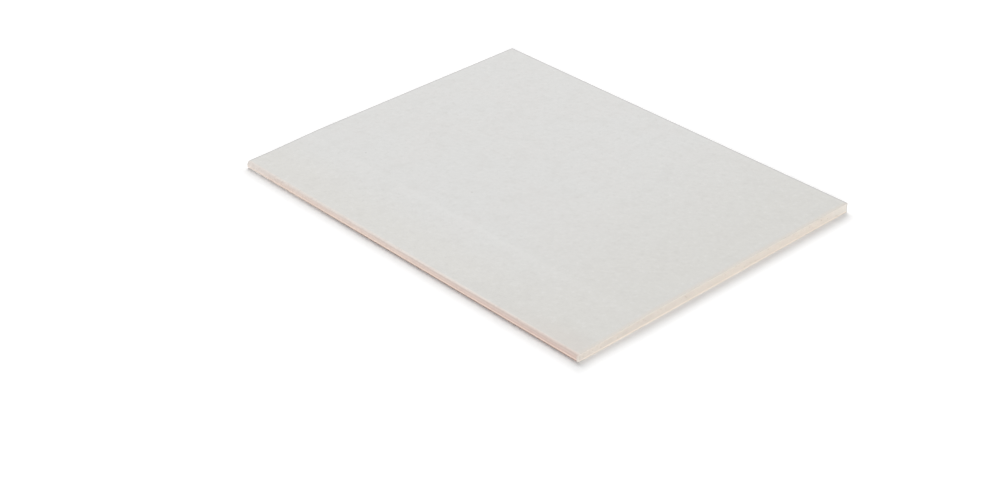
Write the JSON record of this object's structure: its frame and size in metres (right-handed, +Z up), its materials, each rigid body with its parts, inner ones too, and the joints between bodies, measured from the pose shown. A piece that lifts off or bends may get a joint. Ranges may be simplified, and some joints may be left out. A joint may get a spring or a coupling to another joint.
{
  "type": "drywall sheet",
  "caption": "Cut rectangular panel of paper-faced gypsum board, with one tapered, rounded, paper-wrapped long edge and square cut sides elsewhere.",
  "frame": {"origin": "middle of the underside, on the level surface that the sheet lies on", "axes": "+X along the wrapped long edge, +Y across the sheet from the wrapped edge to the cut edge opposite, +Z up out of the face"},
  "size_m": [0.45, 0.35, 0.0095],
  "materials": {
    "gypsum": "matte",
    "face_paper": "matte, light grey, faintly mottled fibre, warmer along the folded edge",
    "back_paper": "matte, grey-brown recycled liner"
  },
  "bodies": {
    "root": {"gypsum_core": "gypsum", "face_paper": "face_paper", "back_paper": "back_paper"}
  },
  "joints": []
}
